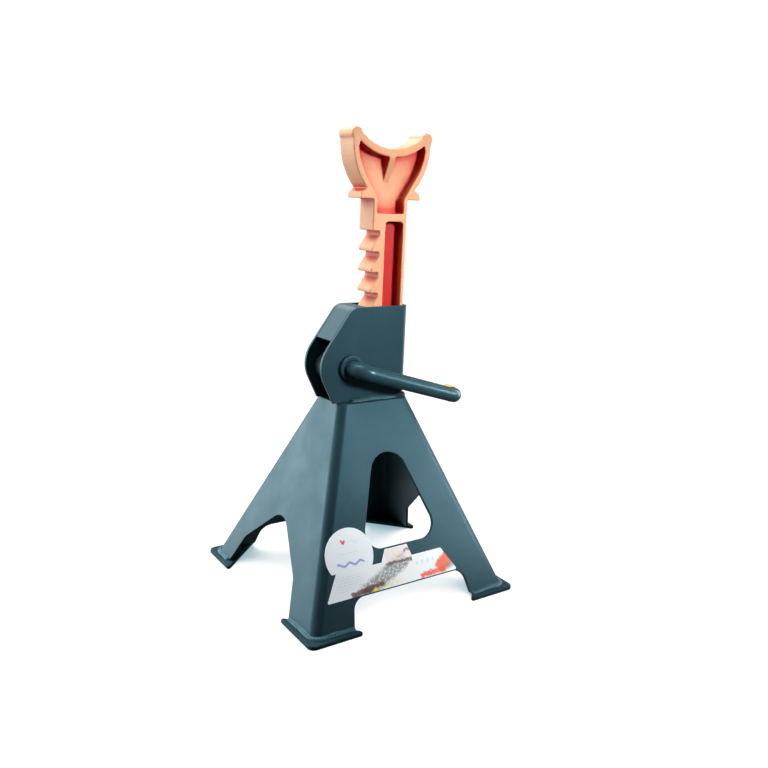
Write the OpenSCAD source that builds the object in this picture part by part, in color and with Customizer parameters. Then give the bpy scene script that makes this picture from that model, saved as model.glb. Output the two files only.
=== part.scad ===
/* [Base] */
// Half width of the base over its foot plates, left to right
foot_x = 102; // [95:0.5:110]
// Half depth of the base over its foot plates, front to back
foot_y = 100; // [92:0.5:108]
// Thickness of the foot plates
foot_t = 3.5; // [3:0.5:5]
// How far a foot plate stands out past the side of its leg
foot_lip_x = 6; // [4:0.5:8]
// How far a foot plate stands out past the front of its leg
foot_lip_y = 7; // [4:0.5:9]
// Height of the top of the pressed base
crown_z = 164; // [155:1:175]
// Half width of the base at its top
crown_x = 34.5; // [34:0.5:38]
// Half depth of the base at its top
crown_y = 21; // [20:0.5:25]
// Thickness of the pressed steel sheet
sheet_t = 3; // [2.5:0.5:3.5]
// Outside bend radius of the base corners
bend_r = 8; // [6:0.5:10]
// Highest point of the window in the front and back faces
window_top = 125; // [118:1:130]
// Lowest point of the window in the front and back faces
window_bottom = 54; // [50:1:60]

/* [Housing] */
// Height of the top of the ratchet housing
housing_top = 243.5; // [238:0.5:250]
// Half depth of the housing over its ears
housing_y = 14.8; // [14.5:0.1:16]
// Right-hand face of the housing
housing_right = 35; // [34.8:0.1:36]

/* [Ratchet column] */
// Width of the column across its teeth
column_w = 33.4; // [32:0.1:34]
// Depth of the column and its saddle, front to back
column_d = 21.6; // [20:0.1:22.4]
// Place of the column's middle, right of the middle of the base
column_x = 14; // [13.5:0.1:14.4]
// Distance from one tooth to the next
tooth_pitch = 17; // [16:0.5:18]
// Number of notches in the column
tooth_count = 9; // [6:1:9]
// Height of the uppermost tooth tip with the column in its fourth notch from the top
first_tip_z = 305.5; // [304:0.5:306]
// Depth of a notch
notch_depth = 7; // [6:0.5:7.5]

/* [Handle] */
// Diameter of the bent rod that is the handle and the shaft of the pawl
rod_d = 12.8; // [12:0.1:13]
// Distance from the middle of the shaft to the middle of the short end of the handle
handle_reach = 111.5; // [100:0.5:115]
// How far the handle hangs below level, in degrees
handle_droop = 16.8; // [12:0.1:17]
// How far the pawl stands away from the teeth, in degrees of handle lift
pawl_lift = 13.2; // [13:0.1:14]

/* [Hidden] */
$fn = 72;

steel_paint = [0.28, 0.40, 0.44];
weld_paint = [0.22, 0.32, 0.36];
column_paint = [0.93, 0.52, 0.34];
bare_steel = [0.62, 0.63, 0.65];
cap_yellow = [0.95, 0.80, 0.35];
sticker_white = [0.93, 0.94, 0.95];

eps = 0.01;
base_x = foot_x - foot_lip_x;
base_y = foot_y - foot_lip_y;
base_h = crown_z - foot_t;
side_arch_shift = 6.6;
side_lean = atan((base_x - crown_x) / base_h);
front_lean = atan((base_y - crown_y) / base_h);
wall_x = sheet_t / cos(side_lean);
wall_y = sheet_t / cos(front_lean);
seam_w = 5;
cut_reach = 24;

pivot = [-22.5, 193.5];
rod_r = rod_d / 2;
elbow_r = 12;
bore_gap = 0.05;
bush_r = 8.2;
bush_flange_r = 11;
bush_flange_t = 3;
elbow_y = housing_y + bush_flange_t + 0.2;
arm_y = elbow_y + elbow_r;
stub_len = 9;
ear_gap = 2 * (housing_y - sheet_t);
pawl_w = 20;
roll_pin_r = 2.5;
roll_pin_len = 25;
clip_groove_r = 5.2;
clip_y = housing_y + bush_flange_t + 2.3;
clip_t = 1.4;
shaft_end_y = clip_y + clip_t + 2.6;

column_left = column_x - column_w / 2;
column_right = column_x + column_w / 2;
column_bottom = 117;
flange_z = 331;
pocket_depth = 8.6;

// ---- Outlines -------------------------------------------------------------

function unit(v) = v / norm(v);
function turn(a, b, c) = sign(cross(b - a, c - b));

// Points of the arc that rounds the corner b of the path a, b, c
function corner_arc(a, b, c, r) =
    let (u = unit(a - b), w = unit(c - b), half = acos(u * w) / 2)
    let (centre = b + unit(u + w) * r / sin(half), start = b + u * r / tan(half) - centre)
    let (first = atan2(start[1], start[0]), sweep = turn(a, b, c) * (180 - 2 * half))
    let (steps = max(3, ceil(abs(sweep) / 7.5)))
    [for (i = [0:steps]) centre + r * [cos(first + sweep * i / steps), sin(first + sweep * i / steps)]];

// A closed outline with each corner rounded to its own radius
function rounded(points, radii) =
    let (n = len(points))
    [for (i = [0:n - 1])
        for (p = radii[i] > 0
                ? corner_arc(points[(i + n - 1) % n], points[i], points[(i + 1) % n], radii[i])
                : [points[i]]) p];

// Points on an arc about a centre
function arc(centre, r, from, to, steps) =
    [for (i = [0:steps]) centre + r * [cos(from + (to - from) * i / steps), sin(from + (to - from) * i / steps)]];

// An outline drawn in X and Z, given a depth along Y about the middle plane
module upright(depth) {
    translate([0, depth / 2, 0])
        rotate([90, 0, 0])
            linear_extrude(depth)
                children();
}

// A round bar along Y between two places
module bar_y(r, from, to) {
    translate([0, to, 0])
        rotate([90, 0, 0])
            cylinder(r = r, h = to - from);
}

// ---- Base -------------------------------------------------------------------

function half_x(z) = base_x + (crown_x - base_x) * (z - foot_t) / base_h;
function half_y(z) = base_y + (crown_y - base_y) * (z - foot_t) / base_h;
function up_front(z) = (z - foot_t) / cos(front_lean);
function up_side(z) = (z - foot_t) / cos(side_lean);

// A very thin slab at height z, as wide as the base is at height z_width less an inset
module rounded_slab(z, z_width, inset_x, inset_y, r) {
    x = half_x(z_width) - inset_x;
    y = half_y(z_width) - inset_y;
    translate([0, 0, z])
        linear_extrude(eps)
            polygon(rounded([[-x, -y], [x, -y], [x, y], [-x, y]], [r, r, r, r]));
}

module frustum(low, high, inset_x, inset_y, r) {
    hull() {
        rounded_slab(low, low + eps, inset_x, inset_y, r);
        rounded_slab(high - eps, high - eps, inset_x, inset_y, r);
    }
}

// Places an outline in the plane of the front face, with Y up the slope
module on_front_face() {
    translate([0, -base_y, foot_t])
        rotate([90 - front_lean, 0, 0])
            children();
}

module on_left_face() {
    translate([-base_x, 0, foot_t])
        rotate([0, 0, -90])
            rotate([90 - side_lean, 0, 0])
                children();
}

function window_outline() =
    let (apex = 158, corner = 39.3)
    rounded([[0, up_front(apex)], [-corner, up_front(window_bottom)], [corner, up_front(window_bottom)]],
            [18, 14, 14]);

function front_arch_outline() =
    let (foot_half = 58.8, top_half = 54.5, top = 24, below = -8)
    rounded([[-foot_half, below], [-foot_half, up_front(foot_t)], [-top_half, up_front(top)],
             [top_half, up_front(top)], [foot_half, up_front(foot_t)], [foot_half, below]],
            [0, 0, 11, 11, 0, 0]);

function side_arch_outline() =
    let (foot_half = 58.7, knee_half = 46, knee = 30.1, apex = 69.3, below = -8)
    rounded([[-foot_half, below], [-foot_half, up_side(foot_t)], [-knee_half, up_side(knee)],
             [0, up_side(apex)],
             [knee_half, up_side(knee)], [foot_half, up_side(foot_t)], [foot_half, below]],
            [0, 0, 10, 16.3, 10, 0, 0]);

module face_cut(outline) {
    translate([0, 0, -cut_reach / 2])
        linear_extrude(cut_reach)
            polygon(outline);
}

module base_shell() {
    difference() {
        frustum(foot_t, crown_z, 0, 0, bend_r);
        frustum(foot_t - 1, crown_z + 1, wall_x, wall_y, bend_r - sheet_t);
        for (back = [0, 1])
            mirror([0, back, 0])
                on_front_face() {
                    face_cut(window_outline());
                    face_cut(front_arch_outline());
                }
        for (turned = [0, 180])
            rotate([0, 0, turned])
                on_left_face()
                    translate([-side_arch_shift, 0, 0])
                        face_cut(side_arch_outline());
    }
}

// Plan of the slanted edge between the front and right faces, from outside to the middle
edge_dir = unit([crown_x - base_x, base_y - crown_y]);
edge_side = [-edge_dir[1], edge_dir[0]];
edge_out = [base_x, -base_y] - edge_dir * 60;
edge_in = [base_x, -base_y] + edge_dir * base_y / edge_dir[1];
seam_off = edge_side * seam_w / 2;

module base_half_front_left() {
    color(steel_paint)
        intersection() {
            base_shell();
            linear_extrude(crown_z + 5)
                polygon([edge_out + seam_off, edge_in + seam_off, seam_off - edge_in, seam_off - edge_out,
                         [-200, -edge_out[1]], [-200, -200], [edge_out[0], -200]]);
        }
}

module base_half_back_right() {
    rotate([0, 0, 180])
        base_half_front_left();
}

module base_corner_seams() {
    color(weld_paint)
        intersection() {
            base_shell();
            for (turned = [0, 180])
                rotate([0, 0, turned])
                    linear_extrude(crown_z + 5)
                        polygon([edge_out + seam_off, edge_in + seam_off, edge_in - seam_off, edge_out - seam_off]);
        }
}

// ---- Feet -------------------------------------------------------------------

foot_len_x = 46.5;
wide_foot_len_y = 50;
slim_foot_len_y = 44.5;
foot_tip_w = 3;
weld_leg = 3;
wide_weld = 31;
slim_weld = 18;

module foot_plate(len_y) {
    color(steel_paint)
        translate([-foot_x, -foot_y, 0])
            linear_extrude(foot_t)
                polygon(rounded([[0, 0], [foot_len_x, 0], [foot_len_x, foot_tip_w], [foot_tip_w, len_y], [0, len_y]],
                                [6, 1.5, 2.5, 2.5, 1.5]));
}

module weld_triangle(lean) {
    polygon([[0, 0], [weld_leg * sin(lean), weld_leg * cos(lean)], [-weld_leg, 0]]);
}

module foot_welds(run_y) {
    run_x = base_x - bend_r - 60;
    color(weld_paint) {
        translate([-base_x + bend_r, -base_y, foot_t])
            rotate([90, 0, 90])
                linear_extrude(run_x)
                    weld_triangle(front_lean);
        translate([-base_x, -base_y + bend_r, foot_t])
            mirror([0, 1, 0])
                rotate([90, 0, 0])
                    linear_extrude(run_y)
                        weld_triangle(side_lean);
    }
}

module foot_plate_front_left() foot_plate(wide_foot_len_y);
module foot_plate_front_right() mirror([1, 0, 0]) foot_plate(slim_foot_len_y);
module foot_plate_back_left() mirror([0, 1, 0]) foot_plate(slim_foot_len_y);
module foot_plate_back_right() rotate([0, 0, 180]) foot_plate(wide_foot_len_y);
module foot_welds_front_left() foot_welds(wide_weld);
module foot_welds_front_right() mirror([1, 0, 0]) foot_welds(slim_weld);
module foot_welds_back_left() mirror([0, 1, 0]) foot_welds(slim_weld);
module foot_welds_back_right() rotate([0, 0, 180]) foot_welds(wide_weld);

// ---- Crown and housing ----------------------------------------------------------

crown_t = 4;
guide_gap = 0.7;
ear_foot_x = -38;
slope_top = [-21, housing_top];
ear_nose = [-54.4, 197];

function ear_outline() =
    rounded([[housing_right, crown_z], [housing_right, housing_top], slope_top, ear_nose, [ear_foot_x, crown_z]],
            [0, 0, 10, 27, 0]);

module crown_plate() {
    plate_x = crown_x - wall_x - 0.1;
    plate_y = crown_y - wall_y - 0.1;
    color(steel_paint)
        difference() {
            translate([0, 0, crown_z - crown_t])
                linear_extrude(crown_t)
                    polygon(rounded([[-plate_x, -plate_y], [plate_x, -plate_y], [plate_x, plate_y], [-plate_x, plate_y]],
                                    [6, 6, 6, 6]));
            translate([column_left - guide_gap, -column_d / 2 - guide_gap, crown_z - crown_t - 1])
                cube([column_w + 10, column_d + 2 * guide_gap, crown_t + 2]);
        }
}

module channel_plan(grow, r) {
    y = housing_y + grow;
    polygon(rounded([[-70, -y], [housing_right + grow, -y], [housing_right + grow, y], [-70, y]], [0, r, r, 0]));
}

module ratchet_housing() {
    color(steel_paint)
        difference() {
            intersection() {
                upright(2 * housing_y + 2)
                    polygon(ear_outline());
                translate([0, 0, crown_z])
                    linear_extrude(housing_top - crown_z)
                        difference() {
                            channel_plan(0, 7);
                            channel_plan(-sheet_t, 3);
                        }
            }
            translate([pivot[0], 0, pivot[1]])
                bar_y(bush_r, -housing_y - 1, housing_y + 1);
        }
}

// Bent strip that closes the sloping side of the housing between its ears
module housing_cover_strip() {
    slope = unit(ear_nose - slope_top);
    across = [-slope[1], slope[0]];
    lower_end = slope_top + slope * 33;
    upper_end = [-8, housing_top];
    color(steel_paint)
        upright(ear_gap)
            polygon(rounded([upper_end, slope_top, lower_end,
                             lower_end + across * sheet_t,
                             slope_top + [tan(27), -1] * sheet_t,
                             upper_end - [0, sheet_t]],
                            [0, 10, 0, 0, 7, 0]));
}

housing_weld = 4;

module housing_weld_side() {
    color(weld_paint)
        translate([-22, -housing_y, crown_z])
            rotate([90, 0, 90])
                linear_extrude(50)
                    polygon([[0, 0], [0, housing_weld], [-housing_weld, 0]]);
}

module housing_weld_front() housing_weld_side();
module housing_weld_back() mirror([0, 1, 0]) housing_weld_side();

module housing_weld_right() {
    drop = 3;
    overhang = crown_x - housing_right;
    color(weld_paint)
        translate([housing_right + eps, 0, crown_z])
            upright(2 * (housing_y - 7))
                polygon([[0, drop], [0, 0], [overhang, 0], [overhang + drop * tan(side_lean), -drop],
                         [overhang + drop * tan(side_lean) + 1.2, -drop + 1.2]]);
}

// ---- Bushings -------------------------------------------------------------------

module bushing() {
    color(steel_paint)
        translate([pivot[0], 0, pivot[1]])
            difference() {
                union() {
                    bar_y(bush_r, -housing_y, -housing_y + sheet_t);
                    bar_y(bush_flange_r, -housing_y - bush_flange_t, -housing_y);
                }
                bar_y(rod_r + bore_gap, -housing_y - bush_flange_t - 1, -housing_y + sheet_t + 1);
            }
}

module front_bushing() bushing();
module back_bushing() mirror([0, 1, 0]) bushing();

// ---- Column ----------------------------------------------------------------------

saddle_r = 45;
saddle_low = 370.5;
rim_t = 6;
nub_r = 5;
nub_x = 34.2;
nub_z = 380.5;
bowl_r = 55;
bowl_out = 37.8;
bowl_z = 376;
wall = 5;
flange_half = 29.3;
flange_h = 5;
neck_half = 23.5;
neck_z = 339;
rib_w = 6;
rib_end_z = 344;

// Left edge of the column, from the bottom up: a land, a slant, a short wall and a level ledge each pitch
function tooth_edge() =
    [for (k = [tooth_count - 1:-1:0])
        let (tip = first_tip_z - k * tooth_pitch, below = tip - tooth_pitch)
        for (p = [[0, below + 3], [notch_depth, below + 13], [notch_depth, tip], [0, tip]])
            [column_left + p[0], p[1]]];

bowl_centre = [bowl_out - bowl_r, bowl_z];
bowl_start = -asin((bowl_z - neck_z) / bowl_r);

// Right half of the saddle head, measured from the middle of the column
function head_half() =
    concat([[0, flange_z], [flange_half, flange_z], [flange_half - 0.8, flange_z + flange_h], [neck_half, neck_z]],
           arc(bowl_centre, bowl_r, bowl_start + 2, 0, 10),
           [[bowl_out, nub_z], [0, nub_z]]);

// Right half of the pocket under the saddle
function pocket_half() =
    concat([[0, 319.5], [column_w / 2 - 3.6, 319.5], [column_w / 2 - 3.6, flange_z]],
           arc(bowl_centre, bowl_r - wall, bowl_start + 4, -6, 8),
           arc([0, saddle_low + saddle_r], saddle_r + rim_t, -52, -90, 8));

module head_solid() {
    difference() {
        for (side = [0, 1])
            mirror([side, 0])
                polygon(head_half());
        translate([0, saddle_low + saddle_r])
            circle(r = saddle_r, $fn = 120);
    }
    for (side = [-1, 1])
        translate([side * nub_x, nub_z])
            circle(r = nub_r);
}

// Sunk panel on one face of the casting, open towards -Y
module sink() {
    translate([0, -column_d / 2 + pocket_depth, 0])
        rotate([90, 0, 0])
            linear_extrude(pocket_depth + 1)
                children();
}

module slot_outline(low, high) {
    left = column_left + notch_depth + 5.2;
    right = column_right - 3.4;
    polygon(rounded([[left, low], [right, low], [right, high], [left, high]], [3, 3, 3, 3]));
}

module saddle_rib() {
    z_top = saddle_low - 1;
    front = -column_d / 2;
    translate([column_x - rib_w / 2, 0, 0])
        rotate([90, 0, 90])
            linear_extrude(rib_w)
                polygon([[0, rib_end_z], [0, z_top], [front, z_top], [front, z_top - rim_t],
                         [front + pocket_depth, rib_end_z]]);
}

module ratchet_column() {
    color(column_paint) {
        difference() {
            union() {
                upright(column_d)
                    polygon(concat([[column_right, column_bottom], [column_right, flange_z + 1],
                                    [column_left, flange_z + 1]],
                                   [for (i = [len(tooth_edge()) - 1:-1:0]) tooth_edge()[i]],
                                   [[column_left, column_bottom]]));
                upright(column_d)
                    translate([column_x, 0])
                        head_solid();
            }
            for (back = [0, 1])
                mirror([0, back, 0])
                    sink() {
                        slot_outline(136, 182);
                        slot_outline(188, 313);
                        translate([column_x, 0])
                            for (side = [0, 1])
                                mirror([side, 0])
                                    polygon(pocket_half());
                    }
            translate([column_x, 0, stop_pin_z])
                bar_y(stop_pin_r, -column_d, column_d);
        }
        for (back = [0, 1])
            mirror([0, back, 0])
                saddle_rib();
    }
}

stop_pin_z = 123;
stop_pin_r = 2.5;

module column_stop_pin() {
    color(bare_steel)
        translate([column_x, 0, stop_pin_z])
            difference() {
                bar_y(stop_pin_r, -14, 14);
                bar_y(1.4, -15, 15);
            }
}

// ---- Handle and pawl ---------------------------------------------------------------

// Puts parts drawn about the shaft in their place, with X along the hanging handle
module at_shaft() {
    translate([pivot[0], 0, pivot[1]])
        rotate([0, handle_droop, 0])
            children();
}

module elbow(r) {
    rotate_extrude(angle = 90)
        translate([elbow_r, 0])
            circle(r = r);
}

module handle() {
    color(steel_paint)
        at_shaft()
            difference() {
                union() {
                    bar_y(rod_r, -elbow_y, shaft_end_y);
                    translate([elbow_r, -elbow_y, 0])
                        rotate([0, 0, 180])
                            elbow(rod_r);
                    translate([elbow_r, -arm_y, 0])
                        rotate([0, 90, 0])
                            cylinder(r = rod_r, h = handle_reach - 2 * elbow_r);
                    translate([handle_reach - elbow_r, -elbow_y, 0])
                        rotate([0, 0, -90])
                            elbow(rod_r);
                    translate([handle_reach, 0, 0])
                        bar_y(rod_r, -elbow_y, -elbow_y + stub_len);
                }
                difference() {
                    bar_y(rod_r + 1, clip_y, clip_y + clip_t);
                    bar_y(clip_groove_r, clip_y - 1, clip_y + clip_t + 1);
                }
                rotate([0, -handle_droop - pawl_lift, 0])
                    cylinder(r = roll_pin_r, h = roll_pin_len + 5, center = true);
            }
}

module handle_end_cap() {
    color(cap_yellow)
        at_shaft()
            translate([handle_reach, 0, 0])
                difference() {
                    bar_y(rod_r + 1.1, -elbow_y, -elbow_y + stub_len + 1.4);
                    bar_y(rod_r, -elbow_y - 1, -elbow_y + stub_len);
                }
}

// Pawl outline about the shaft, drawn as it stands in a notch
pawl_hub_r = 13;
pawl_tail_r = 12;
pawl_tail_x = -8;

module pawl_outline() {
    circle(r = pawl_hub_r);
    translate([pawl_tail_x, 0])
        circle(r = pawl_tail_r);
    polygon([[0, -pawl_hub_r + 0.2], [0, pawl_hub_r - 0.2], [pawl_tail_x, pawl_tail_r], [pawl_tail_x, -pawl_tail_r]]);
    polygon(rounded([[24.8, 22.6], [14, 22.6], [-7, 10.9], [0, -11], [10.5, -7.5], [19.2, 12.4]],
                    [1.2, 5, 0, 0, 0, 6]));
}

module pawl() {
    color([0.45, 0.47, 0.50])
        translate([pivot[0], 0, pivot[1]])
            rotate([0, -pawl_lift, 0])
                difference() {
                    upright(pawl_w)
                        pawl_outline();
                    bar_y(rod_r + bore_gap, -pawl_w, pawl_w);
                    cylinder(r = roll_pin_r, h = 2 * pawl_hub_r + 5, center = true);
                }
}

module pawl_roll_pin() {
    color(bare_steel)
        translate([pivot[0], 0, pivot[1]])
            rotate([0, -pawl_lift, 0])
                difference() {
                    cylinder(r = roll_pin_r, h = roll_pin_len, center = true);
                    cylinder(r = roll_pin_r / 2, h = roll_pin_len + 2, center = true);
                }
}

module pawl_washers() {
    color(bare_steel)
        translate([pivot[0], 0, pivot[1]])
            for (back = [0, 1])
                mirror([0, back, 0])
                    difference() {
                        bar_y(10.5, pawl_w / 2, pawl_w / 2 + 1.5);
                        bar_y(rod_r + bore_gap, 0, 20);
                    }
}

module shaft_washer() {
    color(bare_steel)
        translate([pivot[0], 0, pivot[1]])
            difference() {
                bar_y(11, clip_y - 2, clip_y - 0.05);
                bar_y(rod_r + bore_gap, 0, 40);
            }
}

module shaft_circlip() {
    color(bare_steel)
        at_shaft()
            difference() {
                bar_y(9, clip_y, clip_y + clip_t);
                bar_y(clip_groove_r, 0, 40);
                translate([0, 0, 7])
                    cube([6, 80, 14], center = true);
            }
}

// ---- Stickers --------------------------------------------------------------------

sticker_t = 0.3;
sticker_r = 22;
sticker_x = -52;
sticker_z = 54.5;
band_low = 25;
band_high = 44;

module on_sticker_face() {
    on_front_face()
        translate([0, 0, eps])
            children();
}

module round_sticker() {
    color(sticker_white)
        on_sticker_face()
            linear_extrude(sticker_t)
                difference() {
                    translate([sticker_x, up_front(sticker_z)])
                        circle(r = sticker_r);
                    translate([-100, up_front(0)])
                        square([200, up_front(band_high) - up_front(0)]);
                }
}

module label_strip() {
    color(sticker_white)
        on_sticker_face()
            linear_extrude(sticker_t)
                polygon(rounded([[-79, up_front(band_low)], [49, up_front(band_low)], [36, up_front(band_high)],
                                 [6, up_front(band_high)], [3, up_front(window_bottom - 1)],
                                 [-19, up_front(window_bottom - 1)], [-24, up_front(band_high)],
                                 [-67, up_front(band_high)]],
                                [1, 1, 1, 0, 1, 1, 0, 1]));
}

base_half_front_left();
base_half_back_right();
base_corner_seams();
foot_plate_front_left();
foot_plate_front_right();
foot_plate_back_left();
foot_plate_back_right();
foot_welds_front_left();
foot_welds_front_right();
foot_welds_back_left();
foot_welds_back_right();
crown_plate();
ratchet_housing();
housing_cover_strip();
housing_weld_front();
housing_weld_back();
housing_weld_right();
front_bushing();
back_bushing();
ratchet_column();
column_stop_pin();
handle();
handle_end_cap();
pawl();
pawl_roll_pin();
pawl_washers();
shaft_washer();
shaft_circlip();
round_sticker();
label_strip();
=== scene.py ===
"""Looks of the ratchet jack stand: materials, weld beads, rounded castings, decals, lights and camera."""
import math

import bmesh
import bpy
import numpy as np
from mathutils import Matrix, Vector


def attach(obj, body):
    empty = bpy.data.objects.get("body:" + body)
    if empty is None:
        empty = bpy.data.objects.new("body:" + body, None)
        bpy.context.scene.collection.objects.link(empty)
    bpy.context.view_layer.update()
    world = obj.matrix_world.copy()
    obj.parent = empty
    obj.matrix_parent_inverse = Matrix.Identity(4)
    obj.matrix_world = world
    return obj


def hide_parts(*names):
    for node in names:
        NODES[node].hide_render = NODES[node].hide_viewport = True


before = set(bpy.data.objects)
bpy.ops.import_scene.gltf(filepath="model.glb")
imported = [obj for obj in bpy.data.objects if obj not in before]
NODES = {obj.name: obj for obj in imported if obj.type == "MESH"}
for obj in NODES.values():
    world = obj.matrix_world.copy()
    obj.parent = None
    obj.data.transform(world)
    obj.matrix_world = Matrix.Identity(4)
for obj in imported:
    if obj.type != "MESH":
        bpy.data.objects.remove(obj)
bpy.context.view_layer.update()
MM = 0.001

# Places shared with the part's source, in millimetres
FOOT_T = 3.5
BASE_X, BASE_Y, CROWN_X, CROWN_Y, CROWN_Z = 96.0, 93.0, 34.5, 21.0, 164.0
BEND_R = 8.0
HOUSING_Y, HOUSING_RIGHT, HOUSING_BEND_R = 14.8, 35.0, 7.0
PIVOT_X, PIVOT_Z = -22.5, 193.5
ROD_R, ELBOW_R = 6.4, 12.0
HANDLE_REACH, HANDLE_DROOP = 111.5, 16.8
STUB_LEN = 9.0
BUSH_R, FLANGE_R, FLANGE_T = 8.2, 11.0, 3.0
ELBOW_Y = HOUSING_Y + FLANGE_T + 0.2
CLIP_Y, CLIP_T, GROOVE_R = HOUSING_Y + FLANGE_T + 2.3, 1.4, 5.2
SHAFT_END_Y = CLIP_Y + CLIP_T + 2.6
COLUMN_FLOOR_Y, SLOT_X, SLOT_HALF, SLOT_TOP_Z = 4.0, 18.4, 10.0, 314.0
STICKER_X, STICKER_Z = -52.0, 54.5
FOOT_BEAD, HOUSING_BEAD, SIDE_BEAD = 2.7, 3.4, 2.2
WIDE_RUN, SLIM_RUN, BEAD_END_X = 31.5, 18.5, 58.5
FRONT_LEAN = math.atan((BASE_Y - CROWN_Y) / (CROWN_Z - FOOT_T))
SIDE_LEAN = math.atan((BASE_X - CROWN_X) / (CROWN_Z - FOOT_T))


# ---- Node material helpers ------------------------------------------------------

class Mat:
    """A node material being built, with short names for the nodes it uses."""

    def __init__(self, name):
        self.m = bpy.data.materials.new(name)
        self.m.use_nodes = True
        self.t = self.m.node_tree
        self.bsdf = self.t.nodes["Principled BSDF"]

    def link(self, a, b):
        self.t.links.new(a, b)

    def put(self, socket, value):
        if isinstance(value, bpy.types.NodeSocket):
            self.link(value, socket)
        elif hasattr(socket.default_value, "__len__") and not hasattr(value, "__len__"):
            socket.default_value = [value] * len(socket.default_value)
        else:
            socket.default_value = value

    def coords(self):
        n = self.t.nodes.new("ShaderNodeTexCoord")
        return n.outputs["Object"]

    def split(self, vector):
        n = self.t.nodes.new("ShaderNodeSeparateXYZ")
        self.put(n.inputs[0], vector)
        return n.outputs

    def join(self, x, y, z):
        n = self.t.nodes.new("ShaderNodeCombineXYZ")
        for s, v in zip(n.inputs, (x, y, z)):
            self.put(s, v)
        return n.outputs[0]

    def math(self, op, a, b=0.0, c=0.0, clamp=False):
        n = self.t.nodes.new("ShaderNodeMath")
        n.operation, n.use_clamp = op, clamp
        for s, v in zip(n.inputs, (a, b, c)):
            self.put(s, v)
        return n.outputs[0]

    def noise(self, scale, detail=4.0, rough=0.55, vector=None, distort=0.0, out="Fac"):
        n = self.t.nodes.new("ShaderNodeTexNoise")
        self.put(n.inputs["Vector"], vector or self.coords())
        for key, v in (("Scale", scale), ("Detail", detail), ("Roughness", rough), ("Distortion", distort)):
            n.inputs[key].default_value = v
        return n.outputs[out]

    def cells(self, scale, vector=None, out="Distance", random=1.0):
        n = self.t.nodes.new("ShaderNodeTexVoronoi")
        self.put(n.inputs["Vector"], vector or self.coords())
        n.inputs["Scale"].default_value = scale
        n.inputs["Randomness"].default_value = random
        return n.outputs[out]

    def span(self, v, a, b, lo=0.0, hi=1.0):
        n = self.t.nodes.new("ShaderNodeMapRange")
        for s, x in zip(n.inputs, (v, a, b, lo, hi)):
            self.put(s, x)
        return n.outputs[0]

    def mix(self, fac, a, b, mode="MIX"):
        n = self.t.nodes.new("ShaderNodeMix")
        n.data_type, n.blend_type = "RGBA", mode
        self.put(n.inputs[0], fac)
        for s, v in ((n.inputs[6], a), (n.inputs[7], b)):
            self.put(s, v if isinstance(v, bpy.types.NodeSocket) else (*v, 1))
        return n.outputs[2]

    def lay(self, col, mask, strength, over):
        """A colour laid over another where the mask is 1, at a strength."""
        return self.mix(self.math("MULTIPLY", mask, strength), col, over)

    def edges(self, reach):
        """Nearly 1 within a reach of edges and corners, and 0 elsewhere: where a painted highlight is laid.
        """
        g = self.t.nodes.new("ShaderNodeNewGeometry")
        soft = self.t.nodes.new("ShaderNodeBevel")
        soft.samples = 4
        soft.inputs["Radius"].default_value = reach
        dot = self.t.nodes.new("ShaderNodeVectorMath")
        dot.operation = "DOT_PRODUCT"
        self.link(g.outputs["Normal"], dot.inputs[0])
        self.link(soft.outputs[0], dot.inputs[1])
        return self.span(dot.outputs["Value"], 0.985, 0.90)

    def openness(self, reach, own=True):
        """1 where the surface lies open, falling towards 0 deep in pockets and corners, its own or any."""
        n = self.t.nodes.new("ShaderNodeAmbientOcclusion")
        n.samples, n.only_local = 10 if reach < 0.1 else 32, own
        n.inputs["Distance"].default_value = reach
        return n.outputs["AO"]

    def bump(self, height, strength, distance, under=None):
        n = self.t.nodes.new("ShaderNodeBump")
        n.inputs["Strength"].default_value = strength
        n.inputs["Distance"].default_value = distance
        self.put(n.inputs["Height"], height)
        if under:
            self.link(under, n.inputs["Normal"])
        return n.outputs[0]

    def done(self, color, rough, normal=None, **rest):
        linked = isinstance(color, bpy.types.NodeSocket)
        self.put(self.bsdf.inputs["Base Color"], color if linked else (*color, 1))
        self.put(self.bsdf.inputs["Roughness"], rough)
        if normal:
            self.link(normal, self.bsdf.inputs["Normal"])
        for key, v in rest.items():
            self.bsdf.inputs[key.replace("_", " ")].default_value = v
        return self.m


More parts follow.
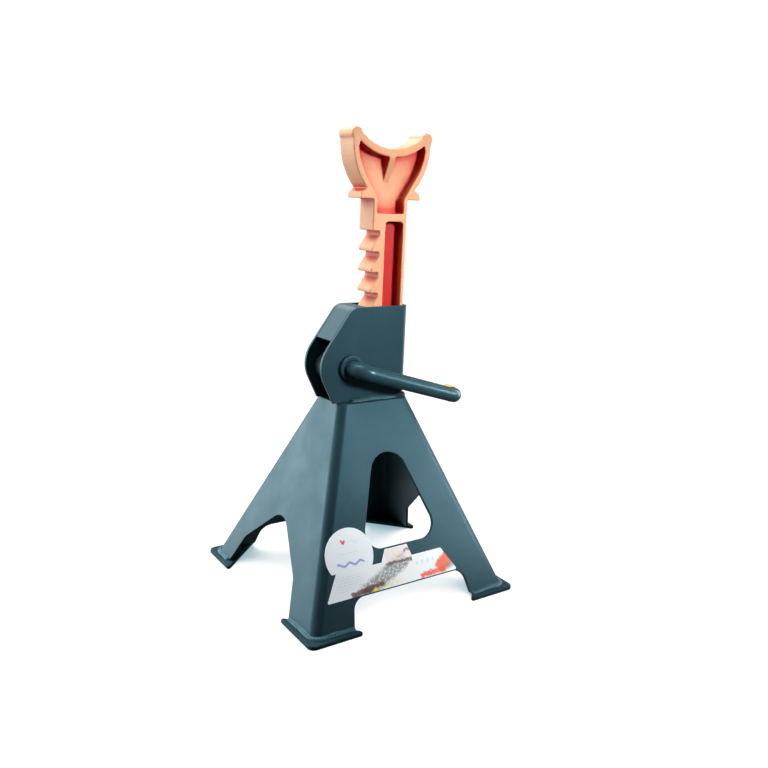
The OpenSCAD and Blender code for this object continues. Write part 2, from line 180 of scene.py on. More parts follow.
def paint(name, dark, light, rough=0.42, peel=0.10, spots=True, gloss=0.42, grime_and_crevice_shade=0.85):
    """Satin baked paint on steel: uneven colour, orange-peel skin, dust, painted shade in its crevices and a
    painted highlight along its edges.
    """
    m = Mat(name)
    broad = m.noise(9, 5, 0.6)
    fine = m.noise(260, 3, 0.6)
    col = m.mix(m.span(broad, 0.30, 0.72), dark, light)
    col = m.mix(m.span(fine, 0.35, 0.75, 0.0, 0.10), col, tuple(min(1, c * 1.5) for c in light))
    dust = m.math("MULTIPLY", m.span(m.noise(38, 6, 0.7), 0.55, 0.85), 0.10)
    col = m.mix(dust, col, (0.14, 0.22, 0.245))
    if spots:
        pits = m.span(m.cells(80), 0.0, 0.09, 1.0, 0.0)
        rare = m.span(m.noise(24, 2), 0.64, 0.72)
        col = m.lay(col, pits, m.math("MULTIPLY", rare, 0.5), (0.015, 0.02, 0.022))
    # Painted highlight: a lighter teal along edges and corners, broken into patches by noise.
    rim_highlight = m.math("MULTIPLY", m.edges(0.0011), m.span(m.noise(60, 4), 0.35, 0.7))
    col = m.lay(col, rim_highlight, 0.30, (0.16, 0.27, 0.30))
    # Painted shade: near black where surfaces meet in creases and between parts, found by ambient occlusion.
    col = m.mix(m.span(m.openness(0.005, False), 0.30, 0.72, grime_and_crevice_shade, 0.0), col, (0.006, 0.010, 0.012))
    r = m.math("ADD", m.span(m.noise(30, 5, 0.65), 0.3, 0.75, rough - 0.04, rough + 0.08),
               m.math("MULTIPLY", fine, 0.05))
    skin = m.bump(m.noise(620, 2, 0.5), peel, 0.0003)
    skin = m.bump(m.noise(30, 3, 0.5), 0.06, 0.0012, skin)
    return m.done(col, r, skin, Specular_IOR_Level=gloss, Specular_Tint=(0.34, 0.80, 1.0, 1.0))


def bare(name, dark, light, rough, grain=0.25, metal=1.0):
    """Plain or plated steel with turning marks, stains and a dull film."""
    m = Mat(name)
    fine = m.noise(650, 4, 0.7)
    broad = m.noise(70, 5, 0.6)
    col = m.mix(m.span(broad, 0.3, 0.72), dark, light)
    col = m.mix(m.span(m.noise(130, 6, 0.75), 0.60, 0.75, 0.0, 0.4), col, (0.10, 0.085, 0.07))
    r = m.span(m.math("ADD", broad, m.math("MULTIPLY", fine, grain)), 0.35, 0.95, rough - 0.08, rough + 0.2)
    return m.done(col, r, m.bump(fine, 0.12, 0.0002), Metallic=metal)


def column_paint():
    """Orange enamel over a rough sand casting, with painted shade in deep red in its pockets and slot, and a
    painted highlight along its edges.
    """
    m = Mat("cast_orange_enamel")
    grain = m.noise(480, 5, 0.65)
    lumps = m.noise(85, 4, 0.55)
    open_colour = m.mix(m.span(lumps, 0.3, 0.72), (0.71, 0.325, 0.165), (0.77, 0.385, 0.215))
    open_colour = m.mix(m.span(m.noise(28, 5, 0.6), 0.5, 0.8, 0.0, 0.4), open_colour, (0.79, 0.43, 0.27))
    deep = m.mix(m.span(lumps, 0.3, 0.72), (0.50, 0.008, 0.008), (0.66, 0.018, 0.012))
    # Painted shade: the paint turns deep red where the casting's pockets are less open, pale orange on open
    # faces.
    open_air = m.openness(0.016)
    col = m.mix(m.span(open_air, 0.60, 0.88), deep, open_colour)
    # Painted shade: the sunken floor of the slot below the head is deep red, darker where it is less open.
    x, y, z = m.split(m.coords())
    sunk = m.span(m.math("ABSOLUTE", y), COLUMN_FLOOR_Y * MM, (COLUMN_FLOOR_Y + 2.5) * MM, 1.0, 0.0)
    below_head = m.span(z, SLOT_TOP_Z * MM, (SLOT_TOP_Z + 2) * MM, 1.0, 0.0)
    off_centre = m.math("ABSOLUTE", m.math("SUBTRACT", x, SLOT_X * MM))
    inside = m.math("MULTIPLY", sunk, m.math("LESS_THAN", off_centre, SLOT_HALF * MM))
    red = m.mix(m.span(open_air, 0.35, 0.95), (0.30, 0.005, 0.006), (0.56, 0.012, 0.010))
    col = m.lay(col, inside, below_head, red)
    # Painted highlight: pale peach along the casting's edges, in patches.
    highlit_edges = m.math("MULTIPLY", m.edges(0.0013), m.span(m.noise(150, 5, 0.7), 0.5, 0.66))
    col = m.lay(col, highlit_edges, 0.4, (0.84, 0.58, 0.42))
    rub = m.math("MULTIPLY", m.span(m.noise(200, 6, 0.75), 0.64, 0.74), 0.22)
    col = m.mix(rub, col, (0.42, 0.11, 0.05))
    r = m.span(m.math("ADD", lumps, m.math("MULTIPLY", grain, 0.4)), 0.4, 1.0, 0.40, 0.62)
    skin = m.bump(grain, 0.22, 0.0005)
    skin = m.bump(lumps, 0.30, 0.0010, skin)
    return m.done(col, r, skin, Specular_IOR_Level=0.22)


def vinyl():
    """Soft yellow dipped cap, with scuffs and a brown grease mark."""
    m = Mat("dipped_vinyl_yellow")
    broad = m.noise(120, 4)
    col = m.mix(m.span(broad, 0.3, 0.7), (0.80, 0.36, 0.045), (0.90, 0.50, 0.09))
    col = m.mix(m.span(m.noise(190, 5, 0.7), 0.58, 0.70, 0.0, 0.75), col, (0.16, 0.07, 0.025))
    r = m.span(broad, 0.3, 0.7, 0.42, 0.58)
    return m.done(col, r, m.bump(m.noise(700, 3), 0.12, 0.0003), Subsurface_Weight=0.05)


class Print(Mat):
    """A decal drawn in the plane of the sloping front face: u to the right, v up the slope, in mm."""

    def __init__(self, name):
        super().__init__(name)
        x, y, z = self.split(self.coords())
        self.u = self.math("MULTIPLY", x, 1000.0)
        along = self.math("MULTIPLY", self.math("ADD", y, BASE_Y * MM), 1000.0 * math.sin(FRONT_LEAN))
        rise = self.math("MULTIPLY", self.math("SUBTRACT", z, FOOT_T * MM), 1000.0 * math.cos(FRONT_LEAN))
        self.v = self.math("ADD", along, rise)

    def warp(self, scale, reach, seed=0.0):
        """u and v moved about by noise, for ragged edges."""
        p = self.join(self.u, self.v, seed)
        n = self.t.nodes.new("ShaderNodeTexNoise")
        self.link(p, n.inputs["Vector"])
        n.inputs["Scale"].default_value = scale
        n.inputs["Detail"].default_value = 4.0
        r, g, _ = self.split(n.outputs["Color"])
        du = self.math("MULTIPLY", self.math("SUBTRACT", r, 0.5), reach)
        dv = self.math("MULTIPLY", self.math("SUBTRACT", g, 0.5), reach)
        return self.math("ADD", self.u, du), self.math("ADD", self.v, dv)

    def bar(self, u, v, centre, size, turn=0.0, soft=0.25):
        """1 inside a turned rectangle."""
        c, s = math.cos(math.radians(turn)), math.sin(math.radians(turn))
        du = self.math("SUBTRACT", u, centre[0])
        dv = self.math("SUBTRACT", v, centre[1])
        a = self.math("ADD", self.math("MULTIPLY", du, c), self.math("MULTIPLY", dv, s))
        b = self.math("SUBTRACT", self.math("MULTIPLY", dv, c), self.math("MULTIPLY", du, s))
        a = self.span(self.math("ABSOLUTE", a), size[0] / 2 - soft, size[0] / 2 + soft, 1.0, 0.0)
        b = self.span(self.math("ABSOLUTE", b), size[1] / 2 - soft, size[1] / 2 + soft, 1.0, 0.0)
        return self.math("MULTIPLY", a, b)

    def disc(self, u, v, centre, r, soft=0.3):
        du = self.math("SUBTRACT", u, centre[0])
        dv = self.math("SUBTRACT", v, centre[1])
        d = self.math("SQRT", self.math("ADD", self.math("MULTIPLY", du, du), self.math("MULTIPLY", dv, dv)))
        return self.span(d, r - soft, r + soft, 1.0, 0.0)

    def dashes(self, pitch, part, along):
        """1 on a part of each pitch along the given coordinate."""
        f = self.math("FRACT", self.math("DIVIDE", along, pitch))
        return self.span(f, part, part + 0.08, 1.0, 0.0)

    def finish_with_glow(self, col):
        grime_and_crevice_shade = self.span(self.noise(60, 5, 0.7), 0.52, 0.82, 0.0, 0.14)
        col = self.mix(grime_and_crevice_shade, col, (0.45, 0.47, 0.48))
        r = self.span(self.noise(90, 4), 0.3, 0.7, 0.28, 0.42)
        # Painted light: the decal glows with its own colour, so it looks brighter than the lamps make it.
        self.link(col, self.bsdf.inputs["Emission Color"])
        gloss = self.bump(self.noise(55, 3), 0.10, 0.0006)
        return self.done(col, r, gloss, Coat_Weight=0.25, Emission_Strength=0.26)


def up(z):
    return (z - FOOT_T) / math.cos(FRONT_LEAN)


WHITE, PALE = (0.86, 0.89, 0.91), (0.76, 0.83, 0.88)
BLUE, RED = (0.16, 0.22, 0.52), (0.62, 0.05, 0.06)


def round_print():
    """Generic round decal: a small red leaf, two grey ticks, a fine grey line and a blue wave."""
    m = Print("round_decal_print")
    c = (STICKER_X, up(STICKER_Z))
    col = m.mix(m.span(m.noise(25, 3), 0.3, 0.7), WHITE, PALE)
    ring = m.math("SUBTRACT", m.disc(m.u, m.v, c, 20.6), m.disc(m.u, m.v, c, 20.1))
    col = m.lay(col, ring, 0.25, (0.55, 0.62, 0.70))
    leaf = (((-55.5, c[1] + 11.0), (3.6, 1.9), 50), ((-57.2, c[1] + 11.8), (1.6, 3.4), 25))
    for centre, size, turn in leaf:
        col = m.mix(m.bar(m.u, m.v, centre, size, turn, 0.5), col, RED)
    for du in (0.0, 3.0):
        tick = m.bar(m.u, m.v, (-47.5 + du, c[1] + 11.0 - du * 0.4), (0.9, 3.2), 12)
        col = m.lay(col, tick, 0.4, (0.42, 0.45, 0.5))
    rule = m.bar(m.u, m.v, (-51.5, c[1] + 2.2), (17.0, 0.7))
    col = m.lay(col, rule, 0.35, (0.4, 0.45, 0.55))
    wave = m.math("ADD", m.v, m.math("MULTIPLY", m.math("SINE", m.math("MULTIPLY", m.u, 0.62)), 1.1))
    col = m.lay(col, m.bar(m.u, wave, (STICKER_X, c[1] - 6.4), (25.0, 2.0)), 0.78, BLUE)
    return m.finish_with_glow(col)


def label_print():
    """Generic banner: pale ground, faint grey rows, a mottled band, and red, maroon and yellow patches."""
    m = Print("banner_decal_print")
    wu, wv = m.warp(0.35, 5.0)
    col = m.mix(m.span(m.noise(20, 3), 0.3, 0.7), WHITE, PALE)
    skewed = m.math("ADD", m.u, m.math("MULTIPLY", m.v, 1.7))
    rows = m.math("MULTIPLY", m.dashes(2.1, 0.42, m.v), m.dashes(5.3, 0.72, skewed))
    rows = m.math("MULTIPLY", rows, m.bar(m.u, m.v, (-56.0, up(35.5)), (26.0, 12.0), 0, 1.0))
    col = m.lay(col, rows, 0.26, (0.35, 0.38, 0.42))
    tread = m.bar(wu, wv, (-23.0, up(34.0)), (50.0, 12.5), 24, 1.8)
    speck = m.span(m.cells(0.62, m.join(m.u, m.v, 3.0)), 0.22, 0.60)
    col = m.lay(col, tread, m.span(speck, 0, 1, 0.28, 0.80), (0.15, 0.16, 0.14))
    beige = m.bar(wu, wv, (-6.5, up(47.2)), (26.0, 13.0), 0, 1.0)
    col = m.lay(col, beige, 0.55, (0.76, 0.62, 0.57))
    for centre, size, turn in (((-7.0, up(41.8)), (26.0, 2.4), -2), ((2.6, up(49.5)), (9.0, 2.0), 14)):
        col = m.lay(col, m.bar(wu, wv, centre, size, turn, 0.7), 0.85, (0.075, 0.045, 0.05))
    maroon = m.bar(wu, wv, (-41.0, up(27.6)), (32.0, 4.4), 7, 0.9)
    col = m.lay(col, maroon, 0.88, (0.10, 0.035, 0.038))
    col = m.mix(m.disc(wu, m.v, (-34.0, up(26.0)), 2.0, 0.8), col, (0.82, 0.62, 0.04))
    ticks = m.span(m.noise(900, 2), 0.42, 0.52)
    line = m.math("MULTIPLY", m.bar(wu, wv, (-20.0, up(27.2)), (24.0, 1.9), 2, 0.5), ticks)
    col = m.lay(col, line, 0.8, (0.80, 0.70, 0.10))
    for k in range(4):
        block = m.bar(m.u, m.v, (9.5 + 5.6 * k, up(37.2)), (2.8, 3.4), -12, 0.5)
        col = m.lay(col, block, 0.28, (0.30, 0.36, 0.40))
    for centre, size, turn in (((37.2, up(33.2)), (17.0, 11.5), 36), ((24.0, up(27.8)), (26.0, 4.2), 5)):
        col = m.lay(col, m.bar(wu, wv, centre, size, turn, 1.0), 0.93, (0.76, 0.085, 0.020))
    brown = m.bar(wu, wv, (42.0, up(29.5)), (8.0, 5.0), 10, 1.2)
    col = m.lay(col, brown, 0.8, (0.30, 0.20, 0.13))
    return m.finish_with_glow(col)


TEAL_DARK, TEAL_LIGHT = (0.014, 0.036, 0.048), (0.021, 0.050, 0.064)
PAINT = paint("satin_teal_paint", TEAL_DARK, TEAL_LIGHT)
PLATE_PAINT = paint("foot_plate_paint", (0.009, 0.027, 0.035), (0.020, 0.052, 0.066), 0.58, 0.18, gloss=0.12)
# Painted highlight: the weld beads get a lighter copy of the teal paint, so that their ridges look lit.
WELD_HIGHLIT_PAINT = paint("painted_weld_bead", (0.024, 0.062, 0.078), (0.066, 0.140, 0.165), 0.38, 0.30, grime_and_crevice_shade=0.4)
HANDLE_PAINT = paint("handle_teal_paint", (0.022, 0.056, 0.071), (0.036, 0.084, 0.103), 0.30, 0.06, False,
                     gloss=0.8)
IRON = paint("pawl_dark_iron", (0.018, 0.021, 0.024), (0.040, 0.046, 0.05), 0.48, 0.35, False)
ZINC = bare("zinc_plated_steel", (0.42, 0.44, 0.46), (0.66, 0.67, 0.68), 0.30)
BLACKENED = bare("blackened_spring_steel", (0.035, 0.037, 0.04), (0.09, 0.095, 0.10), 0.38)
ENAMEL = column_paint()
VINYL = vinyl()


# ---- Mesh helpers ---------------------------------------------------------------

def new_piece(name, verts, faces, mat, body, replaces=(), smooth=True):
    me = bpy.data.meshes.new(name)
    me.from_pydata([tuple(c * MM for c in v) for v in verts], [], faces)
    me.validate()
    me.polygons.foreach_set("use_smooth", [smooth] * len(me.polygons))
    me.materials.append(mat)
    o = bpy.data.objects.new(name, me)
    bpy.context.scene.collection.objects.link(o)
    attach(o, body)
    if replaces:
        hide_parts(*replaces)
    return o


def tube(rings, closed=False):
    """Vertices and faces of a skin through rings of equally many points, with capped ends unless closed."""
    n = len(rings[0])
    verts = [tuple(p) for r in rings for p in r]
    faces = []
    count = len(rings)
    for i in range(count if closed else count - 1):
        j = (i + 1) % count
        for k in range(n):
            l = (k + 1) % n
            faces.append((i * n + k, i * n + l, j * n + l, j * n + k))
    if not closed:
        faces.append(tuple(range(n))[::-1])
        faces.append(tuple((count - 1) * n + k for k in range(n)))
    return verts, faces


def fix_normals(o):
    bm = bmesh.new()
    bm.from_mesh(o.data)
    bmesh.ops.recalc_face_normals(bm, faces=bm.faces)
    bm.to_mesh(o.data)
    bm.free()


def lathe(profile, centre, steps=72, gap=0.0):
    """A body of revolution about an axis along Y. profile: (radius, y) points round the section, in order."""
    rings = []
    sweep = 360.0 - gap
    count = steps if gap == 0 else steps + 1
    for i in range(count):
        a = math.radians(90 + gap / 2 + sweep * i / steps)
        rings.append([(centre[0] + r * math.cos(a), y, centre[1] + r * math.sin(a)) for r, y in profile])
    return tube(rings, closed=(gap == 0))


def ring_section(r_in, r_out, y0, y1, round_out=0.4, round_in=0.25, steps=4):
    """Section of a ring with rounded edges."""
    pts = []
    for (r, y, rad, a0) in ((r_out, y1, round_out, 90), (r_out, y0, round_out, 0),
                            (r_in, y0, round_in, -90), (r_in, y1, round_in, -180)):
        sr = -1 if r == r_out else 1
        sy = -1 if y == y1 else 1
        cr, cy = r + sr * rad, y + sy * rad
        for k in range(steps + 1):
            a = math.radians(a0 - 90 * k / steps)
            pts.append((cr + rad * math.cos(a), cy + rad * math.sin(a)))
    return pts


def ring(name, node, section, mat, body, slot, centre=(PIVOT_X, PIVOT_Z), gap=0.0, steps=72):
    v, f = lathe(section, centre, steps, gap)
    o = new_piece(name, v, f, mat, body, (node,))
    fix_normals(o)
    sharpen(o, 40)
    return o


def sharpen(o, degrees):
    """Keeps edges sharper than the angle crisp in a smooth-shaded mesh."""
    bm = bmesh.new()
    bm.from_mesh(o.data)
    limit = math.radians(degrees)
    for e in bm.edges:
        if len(e.link_faces) == 2 and e.calc_face_angle() > limit:
            e.smooth = False
    bm.to_mesh(o.data)
    bm.free()


# ---- CAD nodes that stay, with finer edges ----------------------------------------

def clean_group(angle):
    """Geometry nodes: join the tessellation and shade it smooth, except where it turns sharply."""
    g = bpy.data.node_groups.new(f"clean_{angle}", "GeometryNodeTree")
    g.interface.new_socket("Geometry", in_out="INPUT", socket_type="NodeSocketGeometry")
    g.interface.new_socket("Geometry", in_out="OUTPUT", socket_type="NodeSocketGeometry")
    add, link = g.nodes.new, g.links.new
    src, dst = add("NodeGroupInput"), add("NodeGroupOutput")
    drop = add("GeometryNodeRemoveAttribute")
    drop.inputs["Name"].default_value = "custom_normal"
    merge = add("GeometryNodeMergeByDistance")
    merge.inputs["Distance"].default_value = 2e-6
    smooth = add("GeometryNodeSetShadeSmooth")
    turn = add("GeometryNodeInputMeshEdgeAngle")
    sharp = add("FunctionNodeCompare")
    sharp.operation = "GREATER_THAN"
    sharp.inputs[1].default_value = math.radians(angle)
    crisp = add("GeometryNodeSetShadeSmooth")
    crisp.domain = "EDGE"
    crisp.inputs["Shade Smooth"].default_value = False
    link(src.outputs[0], drop.inputs["Geometry"])
    link(drop.outputs[0], merge.inputs["Geometry"])
    link(merge.outputs[0], smooth.inputs["Geometry"])
    link(smooth.outputs[0], crisp.inputs["Geometry"])
    link(turn.outputs["Unsigned Angle"], sharp.inputs[0])
    link(sharp.outputs[0], crisp.inputs["Selection"])
    link(crisp.outputs[0], dst.inputs[0])
    return g


CLEAN = clean_group(28)


def keep(node, mat, bevel=0.5, angle=35, segments=3):
    """A CAD node whose shape is right: rounded edges and its own material."""
    o = NODES[node]
    o.data.materials.clear()
    o.data.materials.append(mat)
    gn = o.modifiers.new("clean", "NODES")
    gn.node_group = CLEAN
    flat = o.modifiers.new("flat", "DECIMATE")
    flat.decimate_type = "DISSOLVE"
    flat.angle_limit = math.radians(0.6)
    if bevel:
        b = o.modifiers.new("edge", "BEVEL")
        b.width = bevel * MM
        b.segments = segments
        b.limit_method = "ANGLE"
        b.angle_limit = math.radians(angle)
        b.use_clamp_overlap = False
        b.harden_normals = True
        b.miter_outer = "MITER_ARC"
    w = o.modifiers.new("flats", "WEIGHTED_NORMAL")
    w.keep_sharp = True
    w.weight = 100
    return o


def cast(node, mat, voxel, rounds, factor=0.5):
    """A casting: its edges and inside corners are softened all over."""
    o = NODES[node]
    o.data.materials.clear()
    o.data.materials.append(mat)
    r = o.modifiers.new("skin", "REMESH")
    r.mode = "VOXEL"
    r.voxel_size = voxel * MM
    r.use_smooth_shade = True
    s = o.modifiers.new("soften", "SMOOTH")
    s.factor, s.iterations = factor, rounds
    return o


for n in ("base_half_front_left", "base_half_back_right", "base_corner_seams"):
    keep(n, PAINT, 0.45)
for n in ("foot_plate_front_left", "foot_plate_front_right", "foot_plate_back_left", "foot_plate_back_right"):
    keep(n, PLATE_PAINT, 1.1, segments=4)
keep("crown_plate", PAINT, 0.4)
keep("ratchet_housing", PAINT, 0.5)
keep("housing_cover_strip", PAINT, 0.4)
cast("ratchet_column", ENAMEL, 0.55, 6)
cast("pawl", IRON, 0.45, 5)
keep("round_sticker", round_print(), 0)
keep("label_strip", label_print(), 0)


# ---- Turned parts on the shaft ------------------------------------------------------

def bushing(side, name, node):
    y0, y1 = HOUSING_Y, HOUSING_Y + FLANGE_T
    inner = ROD_R + 0.05
    flange = [(inner, y0 - 3.0), (BUSH_R, y0 - 3.0), (BUSH_R, y0)]
    edge = 1.3
    flange += [(FLANGE_R, y0), (FLANGE_R, y1 - edge)]
    flange += [(FLANGE_R - edge + edge * math.cos(a), y1 - edge + edge * math.sin(a))
               for a in np.radians(np.linspace(15, 90, 6))]
    flange += [(inner + 0.7, y1), (inner + 0.2, y1 - 0.2), (inner, y1 - 0.7)]
    section = [(r, side * y) for r, y in flange]
    return ring(name, node, section, PAINT, "base", "base_paint", steps=96)


bushing(-1, "front_collar", "front_bushing")
bushing(1, "back_collar", "back_bushing")
ring("end_washer", "shaft_washer", ring_section(ROD_R + 0.1, 11.0, CLIP_Y - 2.0, CLIP_Y - 0.1, 0.35), ZINC,
     "handle", "zinc_steel")
clip_section = ring_section(GROOVE_R, 9.0, CLIP_Y, CLIP_Y + CLIP_T, 0.15, 0.15)
ring("end_circlip", "shaft_circlip", clip_section, BLACKENED, "handle", "zinc_steel", gap=42.0)
keep("pawl_roll_pin", BLACKENED, 0.2)
keep("column_stop_pin", ZINC, 0.25)
keep("pawl_washers", ZINC, 0.25)


# ---- Bent rod handle and its dipped cap ----------------------------------------------

EX = Vector((math.cos(math.radians(HANDLE_DROOP)), 0, -math.sin(math.radians(HANDLE_DROOP))))
EY = Vector((0, 1, 0))
EZ = EX.cross(EY)
SHAFT = Vector((PIVOT_X, 0, PIVOT_Z))


def rod_ring(x, y, heading, r_in, r_out, count=56):
    """A ring round the rod at (x, y) in the handle's plane, square to its heading."""
    side = EX * -math.sin(heading) + EY * math.cos(heading)
    here = SHAFT + EX * x + EY * y
    turns = [2 * math.pi * k / count for k in range(count)]
    return [here + side * (r_in * math.cos(t)) + EZ * (r_out * math.sin(t)) for t in turns]


def straight(a, b, heading, steps, r=ROD_R):
    return [rod_ring(*(Vector(a).lerp(Vector(b), i / steps)), heading, r, r) for i in range(steps + 1)]


def elbow(centre, start, turn, steps=22):
    """Rings round a quarter bend. The rod flattens a little where it was bent."""
    rings = []
    for i in range(1, steps):
        a = start + turn * i / steps
        flat = 0.025 * math.sin(math.pi * i / steps)
        x = centre[0] + ELBOW_R * math.cos(a)
        y = centre[1] + ELBOW_R * math.sin(a)
        heading = a + math.copysign(math.pi / 2, turn)
        rings.append(rod_ring(x, y, heading, ROD_R * (1 - flat), ROD_R * (1 + flat * 0.5)))
    return rings


def handle_rod():
    down = -math.pi / 2
    end = SHAFT_END_Y
    chamfer = [(end, 4.9), (end - 0.25, 5.45), (end - 0.7, 5.9), (end - 1.1, 6.2), (end - 1.5, ROD_R)]
    groove = [(CLIP_Y + CLIP_T, ROD_R), (CLIP_Y + CLIP_T, GROOVE_R), (CLIP_Y, GROOVE_R), (CLIP_Y, ROD_R)]
    rings = [rod_ring(0, y, down, r, r) for y, r in chamfer + groove]
    rings += straight((0, CLIP_Y - 0.4), (0, -ELBOW_Y), down, 6)
    rings += elbow((ELBOW_R, -ELBOW_Y), math.pi, math.pi / 2)
    rings += straight((ELBOW_R, -ELBOW_Y - ELBOW_R), (HANDLE_REACH - ELBOW_R, -ELBOW_Y - ELBOW_R), 0, 10)
    rings += elbow((HANDLE_REACH - ELBOW_R, -ELBOW_Y), -math.pi / 2, math.pi / 2)
    tip = -ELBOW_Y + STUB_LEN
    rings += straight((HANDLE_REACH, -ELBOW_Y), (HANDLE_REACH, tip - 1.2), math.pi / 2, 3)
    rings += [rod_ring(HANDLE_REACH, tip - d, math.pi / 2, r, r)
              for d, r in ((0.6, 6.1), (0.15, 5.4), (0, 4.6))]
    v, f = tube(rings)
    o = new_piece("handle_rod", v, f, HANDLE_PAINT, "handle", ("handle",))
    fix_normals(o)
    sharpen(o, 45)


def dipped_cap():
    """Vinyl cap: a thick rolled lip at the elbow and a full round end."""
    y0, y1 = -ELBOW_Y - 0.2, -ELBOW_Y + STUB_LEN + 1.4
    r = ROD_R + 1.1
    outer = [(y0 - 0.5, ROD_R - 0.05), (y0 - 0.45, r - 0.45), (y0 - 0.15, r - 0.05), (y0 + 0.5, r + 0.08),
             (y0 + 1.2, r + 0.02), (y0 + 2.0, r - 0.12), (y0 + 4.0, r - 0.1), (y1 - 3.4, r - 0.1)]
    outer += [(y1 - 3.4 + 3.4 * math.sin(a), r - 0.1 - 3.4 * (1 - math.cos(a)))
              for a in np.radians((20, 40, 58, 74, 86))]
    outer += [(y1, 2.4), (y1, 0.6)]
    rings = [rod_ring(HANDLE_REACH, y, math.pi / 2, q, q) for y, q in outer]
    v, f = tube(rings)
    o = new_piece("dipped_cap", v, f, VINYL, "handle", ("handle_end_cap",))
    fix_normals(o)


handle_rod()
dipped_cap()


# ---- Weld beads ------------------------------------------------------------------------

def along(points, step):
    """Points of a path at an even step, with the distance run at each."""
    run = [0.0]
    for p, q in zip(points, points[1:]):
        run.append(run[-1] + (q[0] - p[0]).length)
    count = max(2, int(run[-1] / step))
    out = []
    for i in range(count + 1):
        s = run[-1] * i / count
        k = min(max(np.searchsorted(run, s) - 1, 0), len(points) - 2)
        t = (s - run[k]) / max(run[k + 1] - run[k], 1e-9)
        out.append((s, [points[k][m].lerp(points[k + 1][m], t) for m in range(3)]))
    return run[-1], out


def bead_rings(points, leg, seed, pitch=1.9, crown=0.34):
    """Rings of a hand-laid fillet weld. A path point is (root, way along one plate, way up the other)."""
    total, samples = along(points, 0.32)
    rng = np.random.default_rng(seed)
    wob = rng.uniform(0, 6.28, 6)
    rings = []
    for s, (root, out, rise) in samples:
        end = min(s, total - s)
        taper = math.sqrt(max(0.0, 1 - (1 - min(end / 2.6, 1)) ** 2)) * 0.92 + 0.08
        drift = 0.07 * math.sin(s / 4.1 + wob[0]) + 0.05 * math.sin(s / 2.3 + wob[1])
        skew = 0.10 * math.sin(s / 5.7 + wob[2])
        size = leg * (0.90 + drift) * taper
        ring = [root - (out + rise) * 0.35]
        for k in range(13):
            t = k / 12
            bow = 4 * t * (1 - t)
            phase = 2 * math.pi * s / pitch + 2.2 * bow + 0.9 * math.sin(s / 3.3 + wob[3])
            ripple = 0.16 * taper * math.sin(phase) * bow ** 0.5
            p = root + out * (size * (1 - t) * (1 + skew)) + rise * (size * t * (1 - skew))
            p += (out + rise).normalized() * (crown * size * bow * 0.8 + ripple)
            ring.append(p)
        rings.append(ring)
    return rings


def bead(name, node, paths, leg, seed):
    verts, faces = [], []
    for i, points in enumerate(paths):
        v, f = tube(bead_rings(points, leg, seed + i))
        faces += [tuple(k + len(verts) for k in face) for face in f]
        verts += v
    o = new_piece(name, verts, faces, WELD_HIGHLIT_PAINT, "base", (node,))
    fix_normals(o)
    return o


def foot_path(sx, sy, run_y):
    """Round the outside of one leg where it stands on its plate."""
    def at(x, y, nx, ny):
        lean = SIDE_LEAN * nx * nx + FRONT_LEAN * ny * ny
        n = Vector((-nx * sx, -ny * sy, 0))
        rise = -n * math.sin(lean) + Vector((0, 0, math.cos(lean)))
        return Vector((x * -sx, y * -sy, FOOT_T)), n, rise

    cx, cy = BASE_X - BEND_R, BASE_Y - BEND_R
    points = [at(BASE_X, cy - run_y, 1, 0), at(BASE_X, cy, 1, 0)]
    points += [at(cx + BEND_R * math.cos(t), cy + BEND_R * math.sin(t), math.cos(t), math.sin(t))
               for t in np.radians(np.arange(10, 90, 10))]
    return points + [at(cx, BASE_Y, 0, 1), at(BEAD_END_X, BASE_Y, 0, 1)]


for i, (name, sx, sy, run) in enumerate((("front_left", 1, 1, WIDE_RUN), ("front_right", -1, 1, SLIM_RUN),
                                         ("back_left", 1, -1, SLIM_RUN), ("back_right", -1, -1, WIDE_RUN))):
    bead("foot_bead_" + name, "foot_welds_" + name, [foot_path(sx, sy, run)], FOOT_BEAD, 20 + i)


def housing_path(side):
    """Along one cheek of the housing and round its bend, on the crown of the base."""
    def at(x, y, n):
        return Vector((x, side * y, CROWN_Z)), n, Vector((0, 0, 1))

    r = HOUSING_BEND_R
    cx, cy = HOUSING_RIGHT - r, HOUSING_Y - r
    out = Vector((0, side, 0))
    points = [at(-22, HOUSING_Y, out), at(cx, HOUSING_Y, out)]
    for t in np.radians(np.arange(75, 14, -15)):
        n = Vector((math.cos(t), side * math.sin(t), 0))
        points.append(at(cx + r * math.cos(t), cy + r * math.sin(t), n))
    return points


bead("housing_bead_front", "housing_weld_front", [housing_path(-1)], HOUSING_BEAD, 41)
bead("housing_bead_back", "housing_weld_back", [housing_path(1)], HOUSING_BEAD, 42)
slope = Vector((math.sin(SIDE_LEAN), 0, -math.cos(SIDE_LEAN)))
edge_x = HOUSING_RIGHT - 0.2
bead("housing_bead_right", "housing_weld_right",
     [[(Vector((edge_x, y, CROWN_Z - 0.4)), slope, Vector((0, 0, 1))) for y in (-7.6, 7.6)]],
     SIDE_BEAD, 43)


# ---- Floor, lights, camera -----------------------------------------------------------

def look(obj, target):
    d = Vector(target) - obj.location
    obj.rotation_euler = d.to_track_quat("-Z", "Y").to_euler()


def soft_light(name, place, target, size, power, color, spread):
    data = bpy.data.lights.new(name, "AREA")
    data.shape = "RECTANGLE"
    data.size, data.size_y = size
    data.energy = power
    data.color = color
    o = bpy.data.objects.new(name, data)
    bpy.context.scene.collection.objects.link(o)
    o.location = place
    look(o, target)
    o.visible_camera = False
    data.spread = math.radians(spread)


def stage_mesh(name, verts, faces, mat):
    me = bpy.data.meshes.new(name)
    me.from_pydata(verts, [], faces)
    me.materials.append(mat)
    o = bpy.data.objects.new(name, me)
    bpy.context.scene.collection.objects.link(o)
    return o


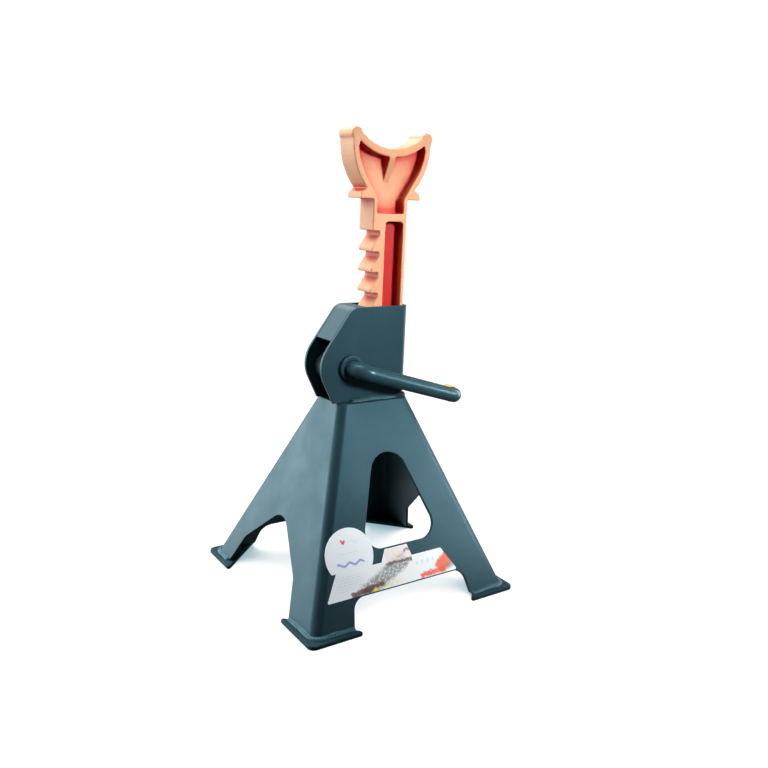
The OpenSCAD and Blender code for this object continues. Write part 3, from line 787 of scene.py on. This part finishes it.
def floor_white():
    """Bright studio floor, with a painted cool grey shadow only where the object stands close over it."""
    m = Mat("floor_white")
    # Painted shadow: the floor's glow turns cool grey where ambient occlusion finds the object close above.
    open_air = m.openness(0.22, False)
    shade = m.mix(m.span(open_air, 0.13, 0.31), (0.28, 0.44, 0.51), (0.98, 0.98, 0.98))
    m.link(shade, m.bsdf.inputs["Emission Color"])
    return m.done((0.12, 0.12, 0.12), 0.9, Emission_Strength=1.0)


FLOOR_HALF, DOME_R, DOME_SINK = 9.0, 9.0, Vector((0, 0, 0.5))
floor_corners = [(x * FLOOR_HALF, y * FLOOR_HALF, 0) for x, y in ((-1, -1), (1, -1), (1, 1), (-1, 1))]
floor = stage_mesh("floor", floor_corners, [(0, 1, 2, 3)], floor_white())


def dome_point(t, u):
    return Vector((math.cos(t) * math.cos(u), math.cos(t) * math.sin(u), math.sin(t))) * DOME_R - DOME_SINK


# A white backdrop that only the camera sees, so that the lights alone shape the object
dome_rings = [[dome_point(t, u) for u in np.radians(np.arange(0, 360, 10))]
              for t in np.radians((0, 15, 30, 45, 60, 75, 89))]
dome = stage_mesh("backdrop", *tube(dome_rings), None)
white = bpy.data.materials.new("backdrop_white")
white.use_nodes = True
white.node_tree.nodes.clear()
glow = white.node_tree.nodes.new("ShaderNodeEmission")
white.node_tree.links.new(glow.outputs[0], white.node_tree.nodes.new("ShaderNodeOutputMaterial").inputs[0])
glow.inputs[1].default_value = 1.1
dome.data.materials[0] = white
for o in (floor, dome):
    for ray in ("diffuse", "glossy", "transmission", "volume_scatter", "shadow"):
        setattr(o, "visible_" + ray, False)


def studio_world():
    """White studio: bright behind and to the left of the object, dark in front of it."""
    world = bpy.data.worlds.new("studio")
    bpy.context.scene.world = world
    world.use_nodes = True
    t = world.node_tree
    sky = t.nodes["Background"]
    where = t.nodes.new("ShaderNodeTexCoord")
    dot = t.nodes.new("ShaderNodeVectorMath")
    dot.operation = "DOT_PRODUCT"
    dot.inputs[1].default_value = Vector((-0.45, 0.86, 0.25)).normalized()
    level = t.nodes.new("ShaderNodeMapRange")
    level.interpolation_type = "SMOOTHSTEP"
    for s, v in zip(level.inputs[1:5], (0.15, 0.85, WORLD_DARK, WORLD_LIGHT)):
        s.default_value = v
    t.links.new(where.outputs["Generated"], dot.inputs[0])
    t.links.new(dot.outputs["Value"], level.inputs[0])
    t.links.new(level.outputs[0], sky.inputs[1])
    sky.inputs[0].default_value = (0.97, 1.0, 1.0, 1)


WORLD_DARK, WORLD_LIGHT = 0.065, 1.2
studio_world()
# Name, place, target, size, power, colour, spread
for row in (
        ("left_panel", (-1.1, 1.4, 0.5), (0, 0, 0.2), (0.9, 1.2), 27, (0.84, 0.98, 1.0), 180),
        ("back_top_panel", (-0.1, 0.7, 1.1), (0, 0, 0.2), (0.8, 0.6), 13, (1, 1, 1), 180),
        ("top_panel", (-0.25, -0.05, 1.25), (0, 0, 0.2), (0.5, 0.5), 4, (1, 1, 1), 180),
        ("column_panel", (0.30, -0.70, 0.50), (0.01, 0, 0.285), (0.14, 0.14), 0.34, (1, 1, 1), 34),
        ("right_near_panel", (0.27, -0.21, 0.16), (0.085, -0.08, 0.07), (0.12, 0.16), 0.12, (1, 1, 1), 50),
        ("right_edge_panel", (0.62, 0.02, 0.22), (0.03, -0.02, 0.12), (0.20, 0.40), 1.3, (1, 1, 1), 180)):
    soft_light(*row)

TARGET_Z, TARGET_SIDE, DISTANCE = 0.17517, 0.01828, 0.68703
AZIMUTH, ELEVATION, ROLL = -34.498, 13.033, 2.512
FOCAL_PX, SENSOR, WIDTH_PX = 793.33, 36.0, 768

a, e, roll = (math.radians(v) for v in (AZIMUTH, ELEVATION, ROLL))
back = Vector((math.sin(a) * math.cos(e), -math.cos(a) * math.cos(e), math.sin(e)))
right = Vector((math.cos(a), math.sin(a), 0))
upward = back.cross(right).normalized()
cam_x = math.cos(roll) * right + math.sin(roll) * upward
cam_y = -math.sin(roll) * right + math.cos(roll) * upward
place = Vector((0, 0, TARGET_Z)) + TARGET_SIDE * right + DISTANCE * back
camera_data = bpy.data.cameras.new("camera")
camera_data.sensor_width = SENSOR
camera_data.lens = FOCAL_PX / WIDTH_PX * SENSOR
camera_data.clip_start, camera_data.clip_end = 0.01, 50
camera = bpy.data.objects.new("camera", camera_data)
bpy.context.scene.collection.objects.link(camera)
camera.matrix_world = Matrix.Translation(place) @ Matrix((cam_x, cam_y, back)).transposed().to_4x4()
bpy.context.scene.camera = camera
bpy.context.scene.view_settings.view_transform = "Standard"
